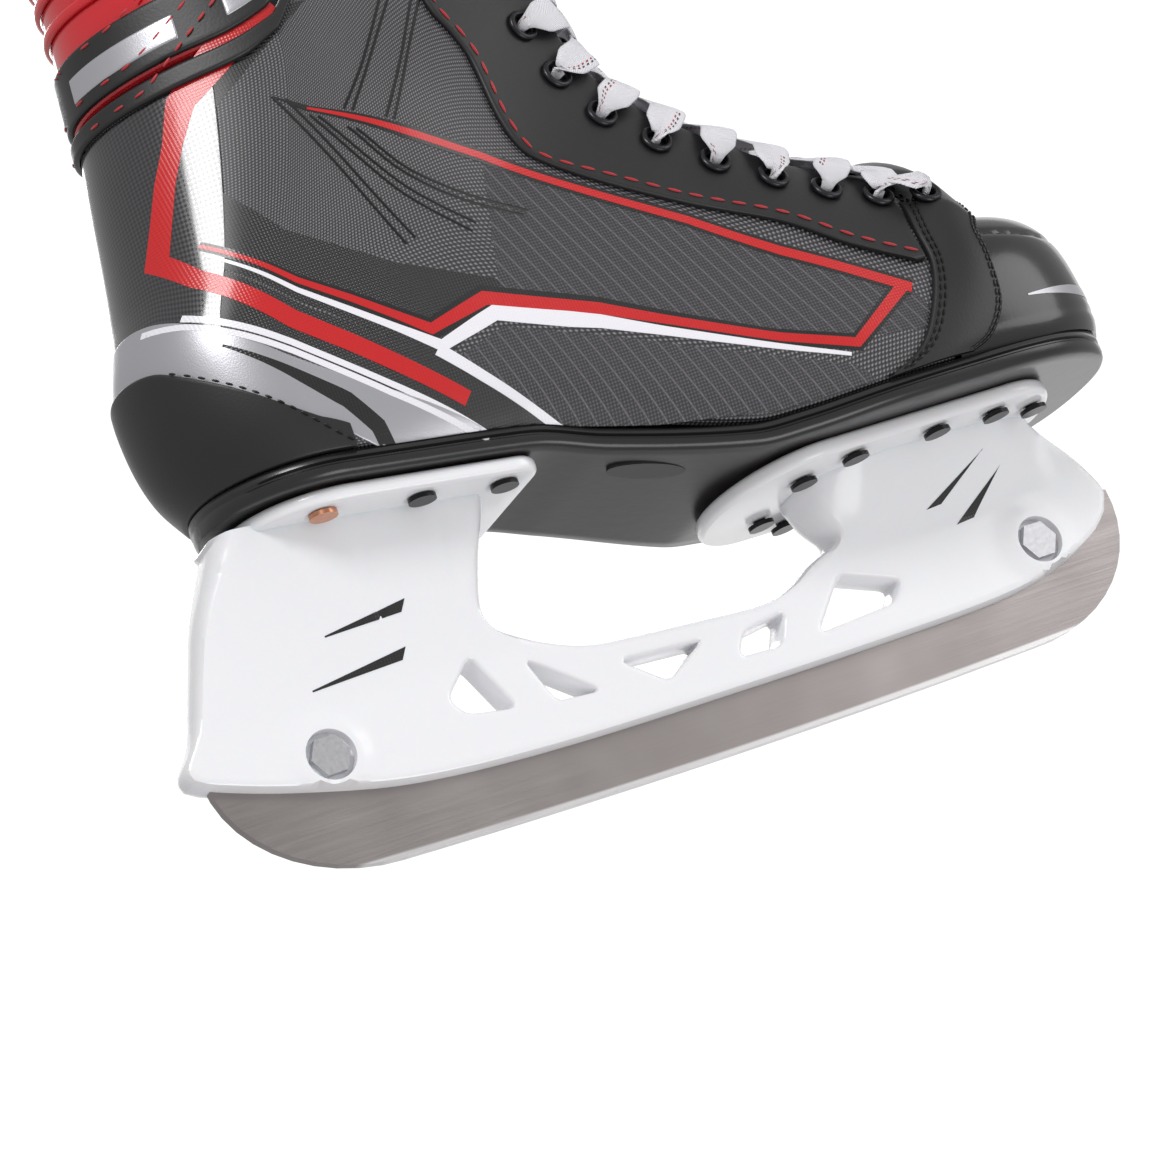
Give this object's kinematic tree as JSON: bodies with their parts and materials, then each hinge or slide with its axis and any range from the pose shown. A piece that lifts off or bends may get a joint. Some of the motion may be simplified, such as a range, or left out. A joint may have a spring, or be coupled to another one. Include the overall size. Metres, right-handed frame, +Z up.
{
  "type": "ice hockey skate",
  "caption": "Laced ice hockey skate: moulded boot with tendon guard and tongue, plastic blade holder and bolted steel runner.",
  "frame": {"origin": "on the ice under the middle of the skate: bottom centre of the bounding box, at the lowest point of the steel runner", "axes": "+X towards the toe along the runner, +Y to the wearer's left (the big toe's side), +Z up"},
  "size_m": [0.294, 0.095, 0.3057],
  "materials": {
    "steel_blade": "satin",
    "holder_plastic": "gloss",
    "bolt_steel": "polished",
    "rivet_black": "satin",
    "copper": "satin",
    "outsole_composite": "gloss",
    "vent_plastic": "gloss",
    "fibreboard": "matt",
    "foam": "matt",
    "toe_plastic": "gloss",
    "black_leather": "matt",
    "quarter_weave": "satin",
    "eyelet_metal": "gloss",
    "counter_board": "matt",
    "lining_fabric": "matt",
    "guard_red": "gloss",
    "tongue_felt": "matt",
    "shield_plastic": "satin",
    "lace_white": "matt",
    "aglet": "gloss"
  },
  "bodies": {
    "boot": {"runner": "steel_blade", "blade_holder": "holder_plastic", "runner_bolts": "bolt_steel", "runner_nuts": "bolt_steel", "steel_rivets": "rivet_black", "copper_rivets": "copper", "rivet_washers": "bolt_steel", "outsole": "outsole_composite", "sole_vent": "vent_plastic", "insole_board": "fibreboard", "footbed": "foam", "toe_cap": "toe_plastic", "toe_strip": "black_leather", "quarter_right": "quarter_weave", "quarter_left": "quarter_weave", "eyestay_right": "black_leather", "eyestay_left": "black_leather", "eyelets_right": "eyelet_metal", "eyelets_left": "eyelet_metal", "heel_patch": "black_leather", "heel_counter": "counter_board", "lining": "lining_fabric", "ankle_pad_right": "foam", "ankle_pad_left": "foam", "guard_band": "black_leather", "tongue": "tongue_felt", "tongue_shield": "shield_plastic", "lace": "lace_white", "lace_tips": "aglet"},
    "guard": {"tendon_guard": "guard_red", "guard_ribs": "guard_red", "guard_pad": "lining_fabric"},
    "tongue_top": {"tongue_flap": "tongue_felt"}
  },
  "joints": [
    {"name": "guard_flex", "type": "hinge", "parent": "boot", "child": "guard", "pos_m": [-0.1025, 0, 0.2125], "axis": [0, -1, 0], "range_deg": [0, 18], "stiffness_Nm_per_rad": 6},
    {"name": "tongue_fold", "type": "hinge", "parent": "boot", "child": "tongue_top", "pos_m": [0.037, 0, 0.2525], "axis": [0, 1, 0], "range_deg": [0, 40], "stiffness_Nm_per_rad": 2}
  ]
}
